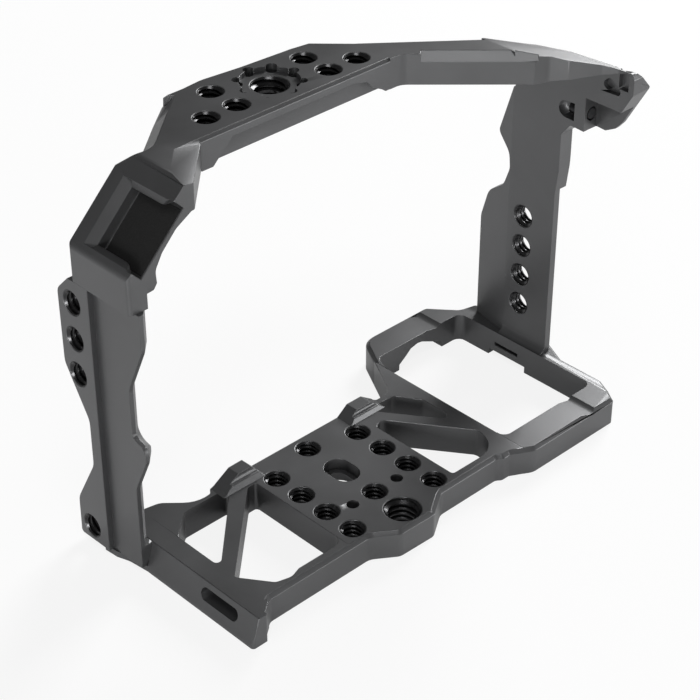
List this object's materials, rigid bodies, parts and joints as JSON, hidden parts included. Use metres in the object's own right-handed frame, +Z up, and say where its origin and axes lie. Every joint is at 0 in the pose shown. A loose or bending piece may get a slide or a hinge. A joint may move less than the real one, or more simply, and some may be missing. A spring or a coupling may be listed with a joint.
{
  "type": "camera cage",
  "caption": "Milled alloy cage that wraps a mirrorless camera: truss base, two uprights, top plate, slanted bridge and a 45 degree cold shoe.",
  "frame": {"origin": "centre of the large tripod thread at the underside of the base", "axes": "+X to the right as seen from behind the camera, +Y forward to the lens, +Z up"},
  "size_m": [0.1451, 0.0733, 0.1075],
  "materials": {
    "anodised_alloy": "bead-blasted, dark grey anodised",
    "black_plate": "satin black",
    "insert_steel": "dark satin thread",
    "black_steel": "black oxide",
    "pad_plastic": "matt nylon"
  },
  "bodies": {
    "root": {"base_centre_plate": "anodised_alloy", "left_truss": "anodised_alloy", "left_end_rail": "anodised_alloy", "right_truss": "anodised_alloy", "battery_inner_rail": "anodised_alloy", "battery_near_rail": "anodised_alloy", "battery_far_rail": "anodised_alloy", "battery_end_rail": "anodised_alloy", "left_camera_stop": "anodised_alloy", "right_camera_stop": "anodised_alloy", "left_upright": "anodised_alloy", "left_hole_flange": "anodised_alloy", "right_upright": "anodised_alloy", "cold_shoe_shoulder": "anodised_alloy", "top_plate": "anodised_alloy", "top_bridge": "anodised_alloy", "right_shoulder": "anodised_alloy", "lug_ear": "anodised_alloy", "cold_shoe_floor_plate": "black_plate", "base_small_inserts": "insert_steel", "base_large_insert": "insert_steel", "top_small_inserts": "insert_steel", "top_large_insert": "insert_steel", "left_upright_inserts": "insert_steel", "right_upright_inserts": "insert_steel"},
    "lock_pad": {"lug_lock_pad": "pad_plastic"},
    "lock_screw": {"lug_lock_screw": "black_steel"}
  },
  "joints": [
    {"name": "lock_slide", "type": "slide", "parent": "root", "child": "lock_pad", "axis": [0, -1, 0], "range_m": [0, 0.0021]},
    {"name": "lock_turn", "type": "hinge", "parent": "lock_pad", "child": "lock_screw", "pos_m": [0.08213, 0.016, 0.08635], "axis": [0, 1, 0], "range_deg": [0, 1080]}
  ],
  "couplings": [
    {"joint": "lock_turn", "follows": "lock_slide", "rad_per_m": 8975.9}
  ]
}
